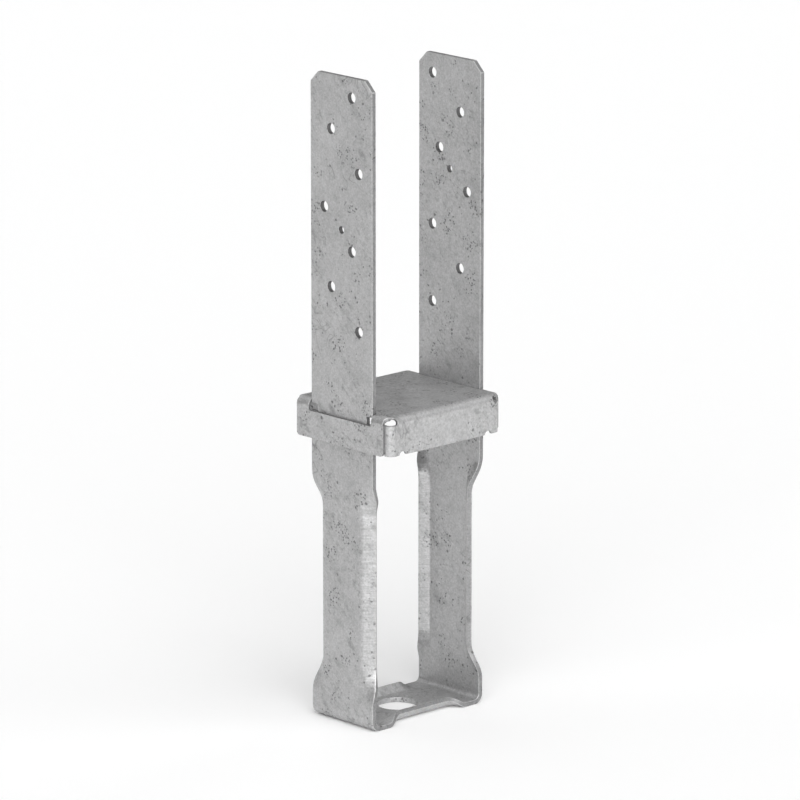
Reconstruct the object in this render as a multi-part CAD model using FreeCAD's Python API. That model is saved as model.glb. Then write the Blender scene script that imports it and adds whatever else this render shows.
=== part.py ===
import FreeCAD
import Part
import math
import os

V = FreeCAD.Vector

# Timber post base: one U-shaped strap whose cast-in lower half has stiffening lips, and one
# folded standoff plate that both legs of the strap pass through.
# Millimetres. +X runs from one leg to the other, +Y along the strap's width, +Z up.
# Z = 0 is the underside of the strap's web.

# Heights that add up: cast-in depth, standoff, and the legs above the plate
embed_depth = 184.4
plate_height = 25.4
leg_rise = 212.5

# Strap
strap_width = 56.5
strap_sheet = 3.4
leg_gap = 90.5
web_bend_inner_radius = 3.4
top_corner_chamfer = 6.9

# Stiffening lips on both edges of the lower legs and of the web. A run-out is the length over
# which a lip rises from the flat sheet to its full angle.
lip_angle = 45.0
lip_bend_length = 3.4
lip_trim = 2.2
leg_lip_width = 12.65
leg_lip_run_out = 24.5
leg_lip_bottom = 29.2
leg_lip_top_drop = {-1: 33.9, 1: 31.7}
web_lip_width = 11.75
web_lip_inset = 11.65
web_lip_run_out = 13.0
upper_trim_onset = 0.25
lip_spans = 6

# Screw holes in the upper legs, measured down from the strap's top, and the web's hole
screw_hole_diameter = 7.14
screw_first_drop = 12.7
screw_second_drop = 34.9
screw_row_pitch = 25.4
screw_column_near = 9.525
screw_column_far = 15.875
tooling_hole_diameter = 4.8
tooling_hole_row = {-1: 4, 1: 3}
web_hole_diameter = 27.0

# Standoff plate; its length follows from the strap
plate_width = 88.9
plate_sheet = 2.0
plate_bend_inner_radius = 3.2
slot_drop = 7.5
end_flange_inset = 4.6
end_flange_corner_radius = 2.5
edge_notch_inset = 13.5
edge_notch_radius = 3.1
edge_notch_height = 2.5

# Open reliefs at the plate's corners, above the folded corner tabs
tab_top_drop = 5.5
relief_inset = 4.5
relief_radius = 3.2
relief_end_inset = 6.9
relief_end_radius = 2.3

# Notches in the strap's edges that the tabs' tails sit in
notch_depth = 5.55
notch_top_drop = 2.7
shoulder_rise = 2.3

# Clearances between the plate and the strap, and between a tail and its end flange
leg_flange_clearance = 0.15
slot_side_clearance = 0.65
slot_inner_clearance = 0.25
tail_end_clearance = 0.3
tail_flange_clearance = 0.2

# How far a cutting solid passes the surface that it cuts, and how far a joined one goes in
beyond = 1.0
overlap = 0.2

# Derived sizes
leg_in = leg_gap / 2.0
leg_out = leg_in + strap_sheet
half_width = strap_width / 2.0
plate_top = embed_depth + plate_height
strap_height = plate_top + leg_rise
plate_x = leg_out + leg_flange_clearance + plate_sheet
plate_y = plate_width / 2.0
end_flange_half_width = plate_y - end_flange_inset
plate_outer_radius = plate_bend_inner_radius + plate_sheet
slot_floor = plate_top - slot_drop
tab_top = plate_top - tab_top_drop
shoulder = embed_depth + shoulder_rise
notch_top = plate_top - notch_top_drop
notch_inner = half_width - notch_depth
tail_outer_x = plate_x - plate_sheet - tail_flange_clearance
tail_end = notch_inner + tail_end_clearance


def box(x0, x1, y0, y1, z0, z1):
    low = V(min(x0, x1), min(y0, y1), min(z0, z1))
    return Part.makeBox(abs(x1 - x0), abs(y1 - y0), abs(z1 - z0), low)


def four_corners(shapes):
    """The given shapes of the -X, -Y corner and their mirror images at the other three."""
    origin = V(0, 0, 0)
    near = list(shapes) + [shape.mirror(origin, V(1, 0, 0)) for shape in shapes]
    return near + [shape.mirror(origin, V(0, 1, 0)) for shape in near]


def smooth(u):
    u = min(1.0, max(0.0, u))
    return u * u * (3.0 - 2.0 * u)


def chain(points, bulges):
    """Closed wire through the points; a bulge is the middle point of an arc, or None."""
    edges = []
    for i, bulge in enumerate(bulges):
        start, end = points[i], points[(i + 1) % len(points)]
        if bulge is None:
            edges.append(Part.makeLine(start, end))
        else:
            edges.append(Part.Arc(start, bulge, end).toShape())
    return Part.Wire(edges)


def strap_blank():
    """The U of full width, before its lips, notches and holes."""
    height = strap_height + overlap
    inner_radius = web_bend_inner_radius
    outer = box(-leg_out, leg_out, -half_width, half_width, 0, height)
    inner = box(-leg_in, leg_in, -half_width - beyond, half_width + beyond, strap_sheet, height + beyond)
    solids = []
    for solid, radius in ((outer, inner_radius + strap_sheet), (inner, inner_radius)):
        bottom = [e for e in solid.Edges if e.BoundBox.ZMax < solid.BoundBox.ZMin + overlap]
        bends = [e for e in bottom if e.BoundBox.XLength < overlap]
        solids.append(solid.makeFillet(radius, bends))
    trim = box(-leg_out - beyond, leg_out + beyond, -half_width - beyond, half_width + beyond,
               strap_height, height + 2.0 * beyond)
    return solids[0].cut(solids[1]).cut(trim)


def lip_wire(fraction, trim, origin, along, inward):
    """Section of a lip: fraction 0 lies flat and 1 is fully folded; origin is on the outer face."""
    angle = math.radians(lip_angle) * fraction
    straight = half_width - abs(origin.y) - lip_bend_length - trim

    def at(a, b):
        return origin + along * a + inward * b

    if fraction == 0.0:
        stops = (0.0, lip_bend_length, lip_bend_length + straight)
        points = [at(a, 0) for a in stops] + [at(a, strap_sheet) for a in reversed(stops)]
        return chain(points, [None] * 6)

    middle_radius = lip_bend_length / angle
    rise = middle_radius + strap_sheet / 2.0

    def bend(radius, share):
        turn = angle * share
        return at(radius * math.sin(turn), rise - radius * math.cos(turn))

    outer, inner = rise, rise - strap_sheet
    reach = (half_width - abs(origin.y) - outer * math.sin(angle)) / math.cos(angle)
    tip = (along * math.cos(angle) + inward * math.sin(angle)) * min(straight, reach)
    points = [bend(outer, 0), bend(outer, 1), bend(outer, 1) + tip,
              bend(inner, 1) + tip, bend(inner, 1), bend(inner, 0)]
    return chain(points, [bend(outer, 0.5), None, None, None, bend(inner, 0.5), None])


def lip_run_out(flat, full, onset, along, inward):
    """Lip that rises from the flat sheet to its full angle; its edge is trimmed from onset on."""
    wires = []
    for i in range(lip_spans + 1):
        u = i / float(lip_spans)
        fold = smooth(u)
        trim = lip_trim * smooth((fold - onset) / (1.0 - onset))
        wires.append(lip_wire(fold, trim, flat + (full - flat) * u, along, inward))
    return Part.makeLoft(wires, True, False)


def lip(stations, onsets, along, inward):
    """Whole lip along four stations: flat, full, full and flat."""
    flat_a, full_a, full_b, flat_b = stations
    straight_run = Part.Face(lip_wire(1.0, lip_trim, full_a, along, inward)).extrude(full_b - full_a)
    return [lip_run_out(flat_a, full_a, onsets[0], along, inward), straight_run,
            lip_run_out(flat_b, full_b, onsets[1], along, inward)]


def strap_lips():
    """Flat strips to cut out of the blank, and the folded lips that replace them."""
    strips = []
    lips = []
    half_run = leg_lip_run_out / 2.0
    web_start = leg_in - web_lip_inset
    web_full = web_start - web_lip_run_out
    for side in (-1, 1):
        y_dir = V(0, side, 0)
        edge = side * (half_width + beyond)
        y_leg = side * (half_width - leg_lip_width)
        for leg in (-1, 1):
            top = embed_depth - leg_lip_top_drop[leg]
            levels = [top + half_run, top - half_run, leg_lip_bottom + half_run, leg_lip_bottom - half_run]
            strips.append(box(leg * (leg_in - beyond), leg * (leg_out + beyond), y_leg, edge,
                              levels[3], levels[0]))
            stations = [V(leg * leg_out, y_leg, z) for z in levels]
            lips += lip(stations, (upper_trim_onset, 0.0), y_dir, V(-leg, 0, 0))
        y_web = side * (half_width - web_lip_width)
        strips.append(box(-web_start, web_start, y_web, edge, -beyond, strap_sheet + beyond))
        stations = [V(x, y_web, 0) for x in (-web_start, -web_full, web_full, web_start)]
        lips += lip(stations, (0.0, 0.0), y_dir, V(0, 0, 1))
    return strips, lips


def hole_rows():
    """Drop of each row below the strap's top, with its Y on the left and on the right leg."""
    near, far = screw_column_near, screw_column_far
    left = [-near, near, -far, far, -near, near, -far]
    right = [far, -near, near, -far, far, -near, far]
    drops = [screw_first_drop] + [screw_second_drop + screw_row_pitch * k for k in range(len(left) - 1)]
    return list(zip(drops, left, right))


def leg_holes():
    rows = hole_rows()
    holes = []
    for drop, y_left, y_right in rows:
        holes.append((-1, y_left, drop, screw_hole_diameter))
        holes.append((1, y_right, drop, screw_hole_diameter))
    for leg, row in tooling_hole_row.items():
        holes.append((leg, 0.0, rows[row][0] - screw_row_pitch / 2.0, tooling_hole_diameter))
    rods = []
    for leg, y, drop, diameter in holes:
        start = V(leg * (leg_in - beyond), y, strap_height - drop)
        rods.append(Part.makeCylinder(diameter / 2.0, strap_sheet + 2.0 * beyond, start, V(leg, 0, 0)))
    return rods


def strap_edge_cuts():
    """Notch and top chamfer at one edge of one leg."""
    x_in, x_out = -leg_in + beyond, -leg_out - beyond
    edge = -half_width
    notch = box(x_in, x_out, edge - beyond, -notch_inner, shoulder, notch_top)
    reach = top_corner_chamfer + beyond
    triangle = [V(x_out, edge - beyond, strap_height - reach),
                V(x_out, edge + reach, strap_height + beyond),
                V(x_out, edge - beyond, strap_height + beyond)]
    chamfer = Part.Face(chain(triangle, [None] * 3)).extrude(V(x_in - x_out, 0, 0))
    return [notch, chamfer]


def make_strap():
    strips, lips = strap_lips()
    web_hole = Part.makeCylinder(web_hole_diameter / 2.0, strap_sheet + 2.0 * beyond, V(0, 0, -beyond))
    strap = strap_blank().cut(strips).fuse(lips)
    return strap.cut(four_corners(strap_edge_cuts()) + leg_holes() + [web_hole]).removeSplitter()


def lid(half_x, half_y, bottom, top, radius):
    """Box whose upright edges and top edges are all rounded."""
    solid = box(-half_x, half_x, -half_y, half_y, bottom, top)
    rounded = [e for e in solid.Edges if e.BoundBox.ZMax > top - overlap]
    return solid.makeFillet(radius, rounded)


def corner_tab():
    """End of a side flange at the -X, -Y corner: flat, bend, and the tail behind the end flange."""
    outer, inner = plate_outer_radius, plate_bend_inner_radius
    height = tab_top - embed_depth
    axis_x, axis_y = -tail_outer_x + outer, -plate_y + outer
    axis = V(axis_x, axis_y, embed_depth)
    bend = Part.makeCylinder(outer, height, axis).cut(Part.makeCylinder(inner, height, axis))
    bend = bend.common(box(axis_x - outer, axis_x, axis_y - outer, axis_y, embed_depth, tab_top))
    relief_side = max(relief_inset + relief_radius, relief_end_inset + relief_end_radius)
    flat_end = -plate_x + relief_side + overlap
    flat = box(axis_x, flat_end, -plate_y, -plate_y + plate_sheet, embed_depth, tab_top)
    tail = box(-tail_outer_x, -tail_outer_x + plate_sheet, axis_y, -tail_end, shoulder, tab_top)
    return bend.fuse([flat, tail])


def corner_relief():
    """Space cleared at the -X, -Y corner, down to the bottom: the tab is put back into it."""
    low = embed_depth - beyond
    x_out, y_out = -plate_x - beyond, -plate_y - beyond
    edge = -end_flange_half_width
    center = V(-plate_x + relief_inset, -plate_y, low)
    top = center + V(0, relief_radius, 0)
    side = center + V(relief_radius, 0, 0)
    diagonal = relief_radius * math.sqrt(0.5)
    points = [V(x_out, edge, low), V(-plate_x + plate_sheet, edge, low), top, side,
              V(side.x, y_out, low), V(x_out, y_out, low)]
    bulges = [None, None, center + V(diagonal, diagonal, 0), None, None, None]
    column = Part.Face(Part.Wire(chain(points, bulges))).extrude(V(0, 0, plate_top + beyond - low))
    bend_axis = V(-plate_x + relief_end_inset, -plate_y + plate_outer_radius,
                  plate_top - plate_outer_radius)
    tilt = math.asin((tab_top + relief_end_radius - bend_axis.z) / plate_outer_radius)
    outward = V(0, -math.cos(tilt), math.sin(tilt))
    rod = Part.makeCylinder(relief_end_radius, plate_outer_radius + beyond, bend_axis, outward)
    return column.fuse(rod)


def flange_cuts():
    """Notch in the side flange's lower edge and rounded corner of the end flange, at -X, -Y."""
    level = embed_depth + edge_notch_height - edge_notch_radius
    notch = Part.makeCylinder(edge_notch_radius, plate_sheet + 2.0 * beyond,
                              V(-plate_x + edge_notch_inset, -plate_y - beyond, level), V(0, 1, 0))
    r = end_flange_corner_radius
    x_out, x_in = -plate_x - beyond, -plate_x + plate_sheet + tail_flange_clearance / 2.0
    inset = -end_flange_half_width + r
    square = box(x_out, x_in, -end_flange_half_width - overlap, inset,
                 embed_depth - beyond, embed_depth + r)
    rod = Part.makeCylinder(r, x_in - x_out, V(x_out, inset, embed_depth + r), V(1, 0, 0))
    return [notch, square.cut(rod)]


def leg_slots():
    half = half_width + slot_side_clearance
    inner = leg_in - slot_inner_clearance
    return [box(leg * inner, leg * (plate_x + beyond), -half, half, slot_floor, plate_top + beyond)
            for leg in (-1, 1)]


def make_plate():
    t = plate_sheet
    outer = lid(plate_x, plate_y, embed_depth, plate_top, plate_outer_radius)
    hollow = lid(plate_x - t, plate_y - t, embed_depth - beyond, plate_top - t, plate_bend_inner_radius)
    plate = outer.cut(hollow).cut(four_corners([corner_relief()]))
    plate = plate.fuse(four_corners([corner_tab()]))
    return plate.cut(four_corners(flange_cuts()) + leg_slots()).removeSplitter()


os.makedirs("parts", exist_ok=True)
NODES = {"u_strap": make_strap, "standoff_plate": make_plate}
for name, maker in NODES.items():
    shape = maker()
    shape.exportStep("parts/" + name + ".step")
    print(name, "solids", len(shape.Solids), "valid", shape.isValid(), "volume", round(shape.Volume))
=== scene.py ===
"""Timber post base: galvanised finish, edge rounding, floor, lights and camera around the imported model."""

import math

import bmesh
import bpy
import numpy as np
from bpy.props import FloatProperty, FloatVectorProperty, PointerProperty
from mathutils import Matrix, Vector
from mathutils.bvhtree import BVHTree


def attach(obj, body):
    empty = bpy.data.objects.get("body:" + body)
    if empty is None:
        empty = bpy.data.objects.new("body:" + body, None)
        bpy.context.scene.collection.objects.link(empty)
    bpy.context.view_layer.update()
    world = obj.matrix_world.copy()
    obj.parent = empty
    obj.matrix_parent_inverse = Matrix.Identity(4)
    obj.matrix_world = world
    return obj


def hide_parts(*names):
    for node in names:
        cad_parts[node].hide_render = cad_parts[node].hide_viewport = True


bl_info = {
    "name": "Timber post base",
    "version": (1, 0, 0),
    "blender": (4, 5, 0),
    "location": "View3D > Sidebar > Post base",
    "description": "Dresses the folded strap and its standoff plate in galvanised steel on a studio floor",
    "category": "Object",
}

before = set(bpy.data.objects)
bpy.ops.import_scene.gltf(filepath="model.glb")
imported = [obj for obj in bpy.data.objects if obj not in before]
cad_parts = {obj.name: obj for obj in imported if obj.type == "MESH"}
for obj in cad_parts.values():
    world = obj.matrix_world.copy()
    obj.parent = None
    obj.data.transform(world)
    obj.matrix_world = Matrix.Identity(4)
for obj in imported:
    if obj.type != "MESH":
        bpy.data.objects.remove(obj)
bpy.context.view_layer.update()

STRAP = "u_strap"
PLATE = "standoff_plate"

# All lengths are in metres. Corners this near are merged, and edges this short are dropped.
MERGE_DISTANCE = 1e-6
SHORT_EDGE = 0.0001

# A ray starts this far off its face, and one that meets nothing counts as this long.
RAY_START = 0.00002
OPEN_AIR = 1.0

# Rounding of the mouths of the narrow holes.
MOUTH_RADIUS = 0.0002

# Faces that turn less than the first are one flat, and edges that turn more than the second are sharp.
FLAT_ANGLE = math.radians(0.3)
CORNER_ANGLE = math.radians(35.0)

# A cut face has more steel behind it than this many sheets, on more than this part of its smooth run.
CUT_DEPTH = 1.4
CUT_PART = 0.25

# The air in front of a cut face reaches less than the first in a narrow hole and less than the second in
# the web's hole. The tones say how dark the cut faces are made: on the outer edges for the dull cut steel, in
# a narrow hole for that and painted shade, and the web's hole is not darkened.
HOLE_REACH = 0.008
WEB_HOLE_REACH = 0.028
HOLE_CUT_AND_PAINTED_SHADE_TONE, WEB_HOLE_TONE, EDGE_TONE = 1.6, 0.0, 1.0

# Product of a face normal's X and Y where a stretched fold begins, and how much more it is at full stretch.
LEAN_FROM = 0.12
LEAN_OVER = 0.28

# A corner further off the steel than this part of the edge radius is pulled back to it.
STRAY_SHARE = 0.5

# How metallic the dull zinc is, and how strong and how deep its relief.
METAL_SHARE = 0.78
RELIEF, RELIEF_DEPTH = 0.80, 0.00020

# Sizes of the patterns in the zinc, and of the zones that they gather in.
WIDE_SIZE, CLOUD_SIZE, MOTTLE_SIZE, GRAIN_SIZE = 0.050, 0.011, 0.0034, 0.0013
PIT_SIZE, NEST_SIZE, LOOSE_PIT_SIZE, LOOSE_ZONE_SIZE = 0.0021, 0.019, 0.0040, 0.018
DASH_SIZE, DASH_ZONE_SIZE, BAND_SIZE, SMUDGE_SIZE = 0.0019, 0.034, 0.012, 0.017
CREASE_SIZE, CREASE_ZONE_SIZE, STREAK_SIZE = 0.016, 0.030, 0.0012

# Part of the tone that each kind of mark takes away where its strength is 1.
PIT_SHADE, DASH_SHADE, SMUDGE_SHADE = 0.50, 0.18, 0.28
# The cut faces' share darkens their dull cut steel, and in the narrow holes and slots it also paints shade.
CREASE_SHADE, BAND_SHADE, CUT_EDGE_AND_PAINTED_HOLE_SHADE = 0.24, 0.12, 0.40

# Turns that lay the marks slanting down the legs, and down all of the plate's flanges alike, and how
# much longer than wide those marks are.
ALONG_LEGS = (math.radians(-45.0), 0.0, 0.0)
ALONG_PLATE = (math.radians(54.74), 0.0, math.radians(-135.0))
SLANT_STRETCH = (1.0, 1.0, 2.3)

# The streaks across a stretched fold are this much longer around the strap than up it.
STREAK_STRETCH = (7.0, 7.0, 1.0)

# Name, azimuth from -Y towards +X, elevation and spread in degrees, and strength of each light.
LIGHTS = (
    ("camera_low", -43.0, 15.0, 60.0, 1.50),
    ("camera_high", -43.0, 40.0, 80.0, 1.21),
    ("front", 0.0, 40.0, 80.0, 1.46),
    ("back", 180.0, 40.0, 80.0, 0.69),
    ("top_right", 43.0, 70.0, 90.0, 0.48),
    ("top_back", 180.0, 70.0, 90.0, 0.10),
    ("left_back", -135.0, 25.0, 115.0, 0.07),
    ("right", 95.0, 12.0, 30.0, 0.35),
)

# Grey level of the backdrop, as white as the lit floor.
BACKDROP = 1.0


class StrapSettings(bpy.types.PropertyGroup):
    """Looks of the U-shaped strap."""

    steel: FloatVectorProperty(
        name="Steel colour", description="Middle tone of the strap's zinc coat",
        subtype="COLOR", size=3, min=0.0, max=1.0, default=(0.500, 0.500, 0.502))
    sheet: FloatProperty(
        name="Sheet", description="Thickness of the strap's steel", unit="LENGTH", default=0.0034, min=0.0005)
    edge_radius: FloatProperty(
        name="Edge radius", description="Rounding that shearing and zinc leave on the strap's cut edges",
        unit="LENGTH", default=0.0004, min=0.0, max=0.001)
    roughness: FloatProperty(
        name="Roughness", description="Middle roughness of the strap's zinc coat",
        subtype="FACTOR", default=0.50, min=0.0, max=1.0)


class PlateSettings(bpy.types.PropertyGroup):
    """Looks of the folded standoff plate."""

    steel: FloatVectorProperty(
        name="Steel colour", description="Middle tone of the plate's zinc coat",
        subtype="COLOR", size=3, min=0.0, max=1.0, default=(0.515, 0.515, 0.517))
    sheet: FloatProperty(
        name="Sheet", description="Thickness of the plate's steel", unit="LENGTH", default=0.0020, min=0.0005)
    edge_radius: FloatProperty(
        name="Edge radius", description="Rounding that shearing and zinc leave on the plate's cut edges",
        unit="LENGTH", default=0.0002, min=0.0, max=0.001)
    roughness: FloatProperty(
        name="Roughness", description="Middle roughness of the plate's zinc coat",
        subtype="FACTOR", default=0.47, min=0.0, max=1.0)


class StageSettings(bpy.types.PropertyGroup):
    """Floor, lights and camera."""

    floor_color: FloatVectorProperty(
        name="Floor colour", description="Colour of the plain floor",
        subtype="COLOR", size=3, min=0.0, max=1.0, default=(0.97, 0.97, 0.97))
    floor_radius: FloatProperty(
        name="Floor radius", description="Radius of the round floor",
        unit="LENGTH", default=12.0, min=1.0)
    view_azimuth: FloatProperty(
        name="View azimuth", description="Compass angle of the camera; 0 looks along +Y",
        subtype="ANGLE", default=math.radians(-43.31))
    view_elevation: FloatProperty(
        name="View elevation", description="Angle of the camera above the horizon",
        subtype="ANGLE", default=math.radians(14.28))
    view_distance: FloatProperty(
        name="View distance", description="Distance from the camera to the middle of the part",
        unit="LENGTH", default=3.962, min=0.1)
    view_center: FloatVectorProperty(
        name="View centre", description="Point that the camera looks at",
        subtype="TRANSLATION", size=3, default=(0.0012, -0.0008, 0.2053))
    lens: FloatProperty(
        name="Lens", description="Focal length of the camera in millimetres",
        default=279.8, min=10.0)


class Socket:
    """One shader value. Arithmetic on it adds Math nodes to the tree of its finish."""

    def __init__(self, finish, link):
        self.finish = finish
        self.link = link

    def math(self, operation, *values):
        inputs = {i: value for i, value in enumerate(values)}
        return self.finish.node("ShaderNodeMath", {"operation": operation}, inputs)

    def __add__(self, other):
        return self.math("ADD", self, other)

    __radd__ = __add__

    def __sub__(self, other):
        return self.math("SUBTRACT", self, other)

    def __rsub__(self, other):
        return self.math("SUBTRACT", other, self)

    def __mul__(self, other):
        return self.math("MULTIPLY", self, other)

    __rmul__ = __mul__

    def __abs__(self):
        return self.math("ABSOLUTE", self)

    def larger(self, other):
        return self.math("MAXIMUM", self, other)


class Finish:
    """A material and its node tree."""

    def __init__(self, name):
        self.material = bpy.data.materials.new(name)
        self.material.use_nodes = True
        self.tree = self.material.node_tree
        self.tree.nodes.clear()

    def node(self, kind, settings=None, inputs=None, output=0):
        """Adds a node: settings first, then the values or links of its sockets."""
        node = self.tree.nodes.new(kind)
        for key, value in (settings or {}).items():
            setattr(node, key, value)
        for key, value in (inputs or {}).items():
            socket = node.inputs[key]
            if isinstance(value, Socket):
                self.tree.links.new(value.link, socket)
            else:
                socket.default_value = value
        return Socket(self, node.outputs[output]) if node.outputs else None

    def surface(self, shader):
        """Ends the tree in this shader and gives the finished material."""
        self.node("ShaderNodeOutputMaterial", None, {"Surface": shader})
        return self.material

    def place(self, offset=(0, 0, 0), turn=(0, 0, 0), stretch=(1, 1, 1)):
        """Object coordinates in metres, moved, turned and stretched."""
        here = self.node("ShaderNodeTexCoord", None, None, "Object")
        return self.node("ShaderNodeMapping", {"vector_type": "TEXTURE"},
                         {"Vector": here, "Location": offset, "Rotation": turn, "Scale": stretch})

    def noise(self, place, size, detail=2.0, roughness=0.5, distortion=0.0):
        """Cloudy noise from 0 to 1 whose blobs are about size metres across."""
        return self.node("ShaderNodeTexNoise", None,
                         {"Vector": place, "Scale": 1.0 / size, "Detail": detail,
                          "Roughness": roughness, "Distortion": distortion})

    def dots(self, place, size):
        """Distance in cell widths to the nearest of points about size metres apart."""
        return self.node("ShaderNodeTexVoronoi", None, {"Vector": place, "Scale": 1.0 / size})

    def span(self, value, low, high):
        """Smooth step from 0 at low to 1 at high, where high may be the lesser number."""
        return self.node("ShaderNodeMapRange", {"interpolation_type": "SMOOTHSTEP"},
                         {"Value": value, "From Min": low, "From Max": high})

    def attribute(self, name):
        """The piece's own face attribute of this name."""
        return self.node("ShaderNodeAttribute", {"attribute_name": name}, None, "Fac")

    def tint(self, color, factor):
        """The colour times a grey factor."""
        return self.node("ShaderNodeVectorMath", {"operation": "SCALE"}, {0: color, "Scale": factor})


def centred(noise):
    """Noise as its distance from its middle value of one half."""
    return noise - 0.5


def galvanised(name, steel, roughness, slant, streaking, seed):
    """Dull zinc coat: clouds, grain, clustered pits, slanting dashes and bands, smudges and fine creases.

    The piece's own attributes darken its cut edges and paint shade on the walls of its narrow holes, smooth
    its rolled edges and folds and draw cross streaks on the stretched folds.
    """
    finish = Finish(name)
    offset = (0.11 * seed, 0.07 * seed, 0.05 * seed)
    plain = finish.place(offset)

    wide = finish.noise(plain, WIDE_SIZE, detail=2.0)
    cloud = finish.noise(plain, CLOUD_SIZE, detail=3.0, roughness=0.6, distortion=0.6)
    mottle = finish.noise(plain, MOTTLE_SIZE, detail=2.0, roughness=0.65, distortion=0.4)
    grain = finish.noise(plain, GRAIN_SIZE, detail=2.0, roughness=0.7)
    tone = 1.0 + centred(wide) * 0.22 + centred(cloud) * 0.34 + centred(mottle) * 0.36 + centred(grain) * 0.75

    nest = finish.span(finish.dots(plain, NEST_SIZE) + centred(cloud), 0.37, 0.21)
    pits = finish.span(finish.dots(plain, PIT_SIZE) + centred(grain) * 0.5, 0.40, 0.22) * nest
    loose_zone = finish.span(finish.noise(plain, LOOSE_ZONE_SIZE, detail=1.0), 0.50, 0.62)
    loose = finish.span(finish.dots(plain, LOOSE_PIT_SIZE) + centred(mottle) * 0.6, 0.22, 0.12) * loose_zone
    dark = pits.larger(loose)

    slanting = finish.place(offset, slant, SLANT_STRETCH)
    dash_zone = finish.span(finish.noise(plain, DASH_ZONE_SIZE, detail=1.0), 0.45, 0.58)
    dash = finish.noise(slanting, DASH_SIZE, detail=2.0, distortion=0.5)
    dashes = finish.span(dash, 0.52, 0.68) * dash_zone
    band = finish.span(finish.noise(slanting, BAND_SIZE, detail=3.0, roughness=0.6), 0.56, 0.72)
    smudges = finish.span(finish.dots(slanting, SMUDGE_SIZE), 0.17, 0.06) * finish.span(mottle, 0.30, 0.55)

    bend = centred(finish.noise(plain, CREASE_SIZE, detail=1.0, distortion=0.8))
    crease_zone = finish.span(finish.noise(plain, CREASE_ZONE_SIZE, detail=0.0), 0.62, 0.70)
    crease = finish.span(abs(bend), 0.020, 0.004) * crease_zone

    fold = finish.attribute("stretched_fold")
    across = finish.noise(finish.place(offset, stretch=STREAK_STRETCH), STREAK_SIZE, detail=2.0)
    streaks = centred(across) * fold * streaking

    # Cut faces: dull cut steel on the outer edges, and cut steel with painted shade in the narrow holes and
    # slots.
    cut = finish.attribute("cut_edge_and_hole_shade")
    rolled = finish.attribute("rolled_edge")
    shade = tone * (1.0 - dark * PIT_SHADE) * (1.0 - dashes * DASH_SHADE) * (1.0 - smudges * SMUDGE_SHADE)
    shade = shade * (1.0 - crease * CREASE_SHADE) * (1.0 - band * BAND_SHADE)
    shade = shade * (1.0 + streaks) * (1.0 - cut * CUT_EDGE_AND_PAINTED_HOLE_SHADE)
    color = finish.tint(tuple(steel), shade)
    rough = roughness + centred(cloud) * 0.14 + dark * 0.12 + smudges * 0.06 - rolled * 0.04 - fold * 0.08

    height = centred(mottle) * 0.6 + centred(grain) * 0.4 - dark * 0.7 - dashes * 0.4 - crease * 0.3 + streaks
    normal = finish.node("ShaderNodeBump", None,
                         {"Strength": RELIEF, "Distance": RELIEF_DEPTH, "Height": height})
    shader = finish.node("ShaderNodeBsdfPrincipled", None,
                         {"Base Color": color, "Metallic": METAL_SHARE, "Roughness": rough, "Normal": normal})
    return finish.surface(shader)


def depths(shape, tree):
    """Distance through the steel behind each face and across the air in front of it, in metres."""
    steel, air = [], []
    shape.faces.index_update()
    for face in shape.faces:
        middle = face.calc_center_median()
        for way, found in ((-face.normal, steel), (face.normal, air)):
            distance = tree.ray_cast(middle + way * RAY_START, way)[3]
            found.append(OPEN_AIR if distance is None else distance)
    return steel, air


def smooth_runs(shape):
    """Groups of faces with no sharp edge between them."""
    left = set(shape.faces)
    while left:
        run, rim = [], [left.pop()]
        while rim:
            face = rim.pop()
            run.append(face)
            for edge in face.edges:
                if edge.is_manifold and edge.calc_face_angle() <= CORNER_ANGLE:
                    near = [other for other in edge.link_faces if other in left]
                    left.difference_update(near)
                    rim.extend(near)
        yield run


def cut_and_hole_shade_tone(gap):
    """How dark a cut face is: the dull cut steel on the outer edges, that and painted shade in a narrow hole,
    and not at all in the web's hole.
    """
    if gap < HOLE_REACH:
        return HOLE_CUT_AND_PAINTED_SHADE_TONE
    return WEB_HOLE_TONE if gap < WEB_HOLE_REACH else EDGE_TONE


def narrowest(edge):
    """Least height of the triangles beside an edge, measured from the edge."""
    start, end = (corner.co for corner in edge.verts)
    along = (end - start).normalized()
    return min(along.cross(corner.co - start).length
               for face in edge.link_faces for corner in face.verts if corner not in edge.verts)


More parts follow.
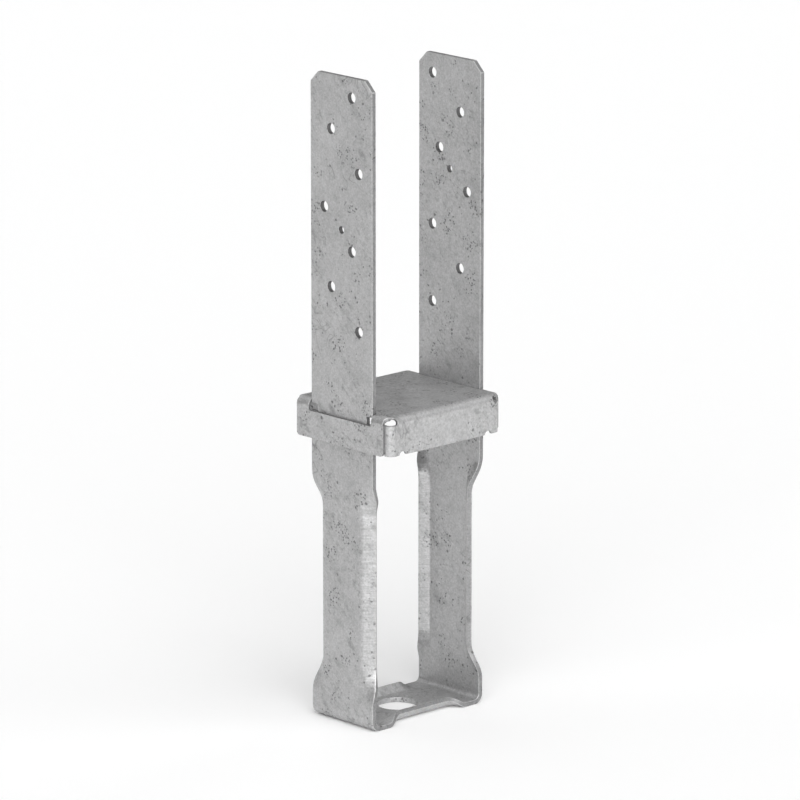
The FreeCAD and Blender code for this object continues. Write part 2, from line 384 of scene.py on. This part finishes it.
def round_edges(shape, radius, sheet):
    """Rounds the sharp edges, the mouths of the narrow holes by their own radius, and marks the faces.

    A face is a cut edge where a good part of its smooth run has steel behind it thicker than the
    sheet. Any other face is part of a stretched fold as far as it leans half way between X and Y.
    An edge with no room beside it stays sharp. A corner that the rounding throws off the steel goes
    back to the nearest point on it.
    """
    cut_and_hole_shade_layer = shape.faces.layers.float.new("cut_edge_and_hole_shade")
    fold_layer = shape.faces.layers.float.new("stretched_fold")
    rolled_layer = shape.faces.layers.float.new("rolled_edge")
    tree = BVHTree.FromBMesh(shape)
    mouths = set()
    behind, before = depths(shape, tree)
    for run in smooth_runs(shape):
        thick = sum(face.calc_area() for face in run if behind[face.index] > CUT_DEPTH * sheet)
        is_cut = thick > CUT_PART * sum(face.calc_area() for face in run)
        for face in run:
            if is_cut:
                # A cut face in a narrow hole or slot gets painted shade on top of the cut-steel tone.
                face[cut_and_hole_shade_layer] = cut_and_hole_shade_tone(before[face.index])
                if before[face.index] < HOLE_REACH:
                    mouths.update(face.edges)
            else:
                lean = abs(face.normal.x * face.normal.y)
                face[fold_layer] = min(1.0, max(0.0, (lean - LEAN_FROM) / LEAN_OVER))
    sharp = [edge for edge in shape.edges
             if edge.is_manifold and edge.calc_face_angle() > CORNER_ANGLE and narrowest(edge) > radius]
    outline = [edge for edge in sharp if edge not in mouths]
    mouths = [edge for edge in sharp if edge in mouths]
    for edges, width in ((outline, radius), (mouths, MOUTH_RADIUS)):
        edges = [edge for edge in edges if edge.is_valid]
        made = bmesh.ops.bevel(shape, geom=edges, offset=width, offset_type="OFFSET", segments=2, profile=0.5,
                               affect="EDGES", clamp_overlap=False)
        for face in made["faces"]:
            face[cut_and_hole_shade_layer] = 0.0
            face[rolled_layer] = 1.0
    for corner in shape.verts:
        nearest, _, _, distance = tree.find_nearest(corner.co)
        if distance > STRAY_SHARE * radius:
            corner.co = nearest
    bmesh.ops.dissolve_degenerate(shape, dist=MERGE_DISTANCE, edges=shape.edges)


def rounded_copy(node_name, piece_name, radius, sheet):
    """Merged copy of a CAD node with rounded edges."""
    mesh = bpy.data.meshes.new(piece_name)
    shape = bmesh.new()
    shape.from_mesh(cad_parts[node_name].data)
    bmesh.ops.remove_doubles(shape, verts=shape.verts, dist=MERGE_DISTANCE)
    bmesh.ops.dissolve_degenerate(shape, dist=SHORT_EDGE, edges=shape.edges)
    bmesh.ops.dissolve_limit(shape, angle_limit=FLAT_ANGLE, verts=shape.verts, edges=shape.edges)
    bmesh.ops.triangulate(shape, faces=shape.faces, quad_method="BEAUTY", ngon_method="BEAUTY")
    round_edges(shape, radius, sheet)
    for face in shape.faces:
        face.smooth = True
    shape.to_mesh(mesh)
    shape.free()
    piece = bpy.data.objects.new(piece_name, mesh)
    bpy.context.scene.collection.objects.link(piece)
    normals = piece.modifiers.new("even shading", "WEIGHTED_NORMAL")
    normals.mode = "FACE_AREA"
    normals.weight = 100
    normals.keep_sharp = False
    return piece


def dress(node_name, piece_name, settings, slot, slant, streaking, seed):
    """Puts the rounded, galvanised piece in the place of its CAD node."""
    piece = rounded_copy(node_name, piece_name, settings.edge_radius, settings.sheet)
    piece.data.materials.append(galvanised(slot, settings.steel, settings.roughness, slant, streaking, seed))
    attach(piece, "root")
    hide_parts(node_name)


def floor_disc(radius, rings=4, spokes=96):
    """Round floor: radius grows evenly over the rings and the angle over the spokes."""
    r = np.linspace(0.0, radius, rings + 1)[1:]
    a = np.linspace(0.0, 2.0 * np.pi, spokes, endpoint=False)
    rim = np.stack([np.outer(r, np.cos(a)), np.outer(r, np.sin(a)), np.zeros((rings, spokes))], axis=-1)
    points = np.vstack([[[0.0, 0.0, 0.0]], rim.reshape(-1, 3)])
    j = np.arange(spokes)
    k = (j + 1) % spokes
    centre = np.stack([np.zeros(spokes, int), 1 + j, 1 + k], axis=1)
    i = np.repeat(np.arange(rings - 1), spokes)
    inner = 1 + i * spokes
    j, k = np.tile(j, rings - 1), np.tile(k, rings - 1)
    quads = np.stack([inner + j, inner + spokes + j, inner + spokes + k, inner + k], axis=1)
    mesh = bpy.data.meshes.new("studio_floor")
    mesh.from_pydata(points.tolist(), [], centre.tolist() + quads.tolist())
    floor = bpy.data.objects.new("studio_floor", mesh)
    bpy.context.scene.collection.objects.link(floor)
    return floor


def matte(name, color):
    """Plain dull finish of one colour."""
    finish = Finish(name)
    return finish.surface(finish.node("ShaderNodeBsdfDiffuse", None, {"Color": (*color, 1.0)}))


def direction(across, up):
    """Unit vector at azimuth across, from -Y towards +X, and elevation up."""
    return Vector((math.sin(across) * math.cos(up), -math.cos(across) * math.cos(up), math.sin(up)))


def soft_sun(name, azimuth, elevation, spread, power):
    """Very wide distant light from azimuth and elevation in degrees."""
    data = bpy.data.lights.new(name, "SUN")
    data.angle = math.radians(spread)
    data.energy = power
    light = bpy.data.objects.new(name, data)
    away = direction(math.radians(azimuth), math.radians(elevation))
    light.rotation_euler = (-away).to_track_quat("-Z", "Y").to_euler()
    bpy.context.scene.collection.objects.link(light)


def pale_backdrop(brightness):
    """World that only the camera sees, as white as the lit floor."""
    world = bpy.data.worlds.new("backdrop")
    world.use_nodes = True
    tree = world.node_tree
    seen = tree.nodes.new("ShaderNodeLightPath")
    light = tree.nodes["Background"]
    light.inputs["Color"].default_value = (brightness, brightness, brightness, 1.0)
    tree.links.new(seen.outputs["Is Camera Ray"], light.inputs["Strength"])
    bpy.context.scene.world = world


def photo_camera(settings):
    """Camera at the photograph's viewing angle."""
    camera = bpy.data.objects.new("camera", bpy.data.cameras.new("camera"))
    camera.data.lens = settings.lens
    camera.data.clip_end = 100.0
    away = direction(settings.view_azimuth, settings.view_elevation)
    camera.location = Vector(settings.view_center) + away * settings.view_distance
    camera.rotation_euler = (-away).to_track_quat("-Z", "Y").to_euler()
    bpy.context.scene.collection.objects.link(camera)
    bpy.context.scene.camera = camera


class POSTBASE_OT_strap(bpy.types.Operator):
    """Dresses the U-shaped strap"""

    bl_idname = "postbase.strap"
    bl_label = "Strap"

    def execute(self, context):
        dress(STRAP, "strap", context.scene.postbase_strap, "strap_steel", ALONG_LEGS, streaking=0.55, seed=1)
        return {"FINISHED"}


class POSTBASE_OT_plate(bpy.types.Operator):
    """Dresses the folded standoff plate"""

    bl_idname = "postbase.plate"
    bl_label = "Standoff plate"

    def execute(self, context):
        dress(PLATE, "plate", context.scene.postbase_plate, "plate_steel", ALONG_PLATE, streaking=0.1, seed=5)
        return {"FINISHED"}


class POSTBASE_OT_stage(bpy.types.Operator):
    """Makes the floor, the lights and the camera"""

    bl_idname = "postbase.stage"
    bl_label = "Stage"

    def execute(self, context):
        settings = context.scene.postbase_stage
        floor = floor_disc(settings.floor_radius)
        floor.data.materials.append(matte("pale_floor", settings.floor_color))
        for light in LIGHTS:
            soft_sun(*light)
        pale_backdrop(BACKDROP)
        photo_camera(settings)
        context.scene.view_settings.view_transform = "Standard"
        return {"FINISHED"}


class POSTBASE_PT_panel(bpy.types.Panel):
    """Lists the pieces and their settings"""

    bl_idname = "POSTBASE_PT_panel"
    bl_label = "Post base"
    bl_space_type = "VIEW_3D"
    bl_region_type = "UI"
    bl_category = "Post base"

    def draw(self, context):
        scene = context.scene
        groups = (("postbase.strap", scene.postbase_strap), ("postbase.plate", scene.postbase_plate),
                  ("postbase.stage", scene.postbase_stage))
        for operator, settings in groups:
            column = self.layout.column()
            column.operator(operator)
            for key in settings.__annotations__:
                column.prop(settings, key)


CLASSES = (StrapSettings, PlateSettings, StageSettings, POSTBASE_OT_strap, POSTBASE_OT_plate,
           POSTBASE_OT_stage, POSTBASE_PT_panel)
SETTINGS = {"postbase_strap": StrapSettings, "postbase_plate": PlateSettings, "postbase_stage": StageSettings}


def register():
    for cls in CLASSES:
        bpy.utils.register_class(cls)
    for key, group in SETTINGS.items():
        setattr(bpy.types.Scene, key, PointerProperty(type=group))


def unregister():
    for key in SETTINGS:
        delattr(bpy.types.Scene, key)
    for cls in reversed(CLASSES):
        bpy.utils.unregister_class(cls)


def main():
    register()
    bpy.ops.postbase.strap()
    bpy.ops.postbase.plate()
    bpy.ops.postbase.stage()


if __name__ == "__main__":
    main()
